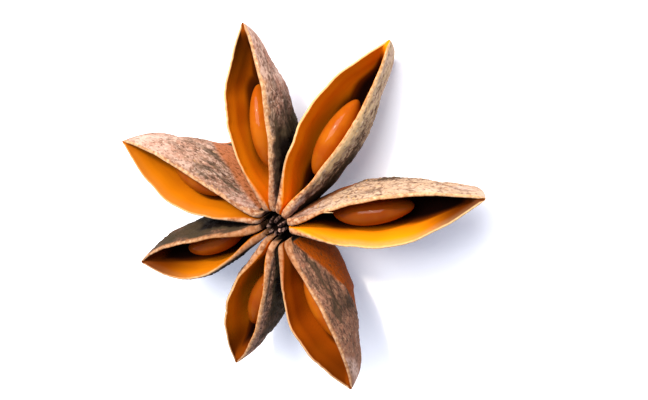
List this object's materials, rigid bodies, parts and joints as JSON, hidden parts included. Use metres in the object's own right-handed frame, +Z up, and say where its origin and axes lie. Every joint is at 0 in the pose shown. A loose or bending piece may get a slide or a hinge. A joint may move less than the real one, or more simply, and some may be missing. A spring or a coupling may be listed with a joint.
{
  "type": "star anise pod",
  "caption": "Dried star-shaped spice pod: open boat-shaped carpels joined round a short core, each holding a smooth seed; lies face up as a kitchen ingredient or garnish.",
  "frame": {"origin": "middle of the underside of the pod's box, on the surface it lies on", "axes": "+Z up, out of the pod's open face; X and Y lie in the surface, and the side that was viewed faces -Y"},
  "size_m": [0.0308, 0.0332, 0.0104],
  "materials": {
    "husk": "rough, dry and wrinkled outside, smooth and satin inside",
    "seed": "smooth and glossy"
  },
  "bodies": {
    "root": {"husk": "husk", "seed_1": "seed", "seed_2": "seed", "seed_3": "seed", "seed_4": "seed", "seed_5": "seed", "seed_6": "seed", "seed_7": "seed"}
  },
  "joints": []
}
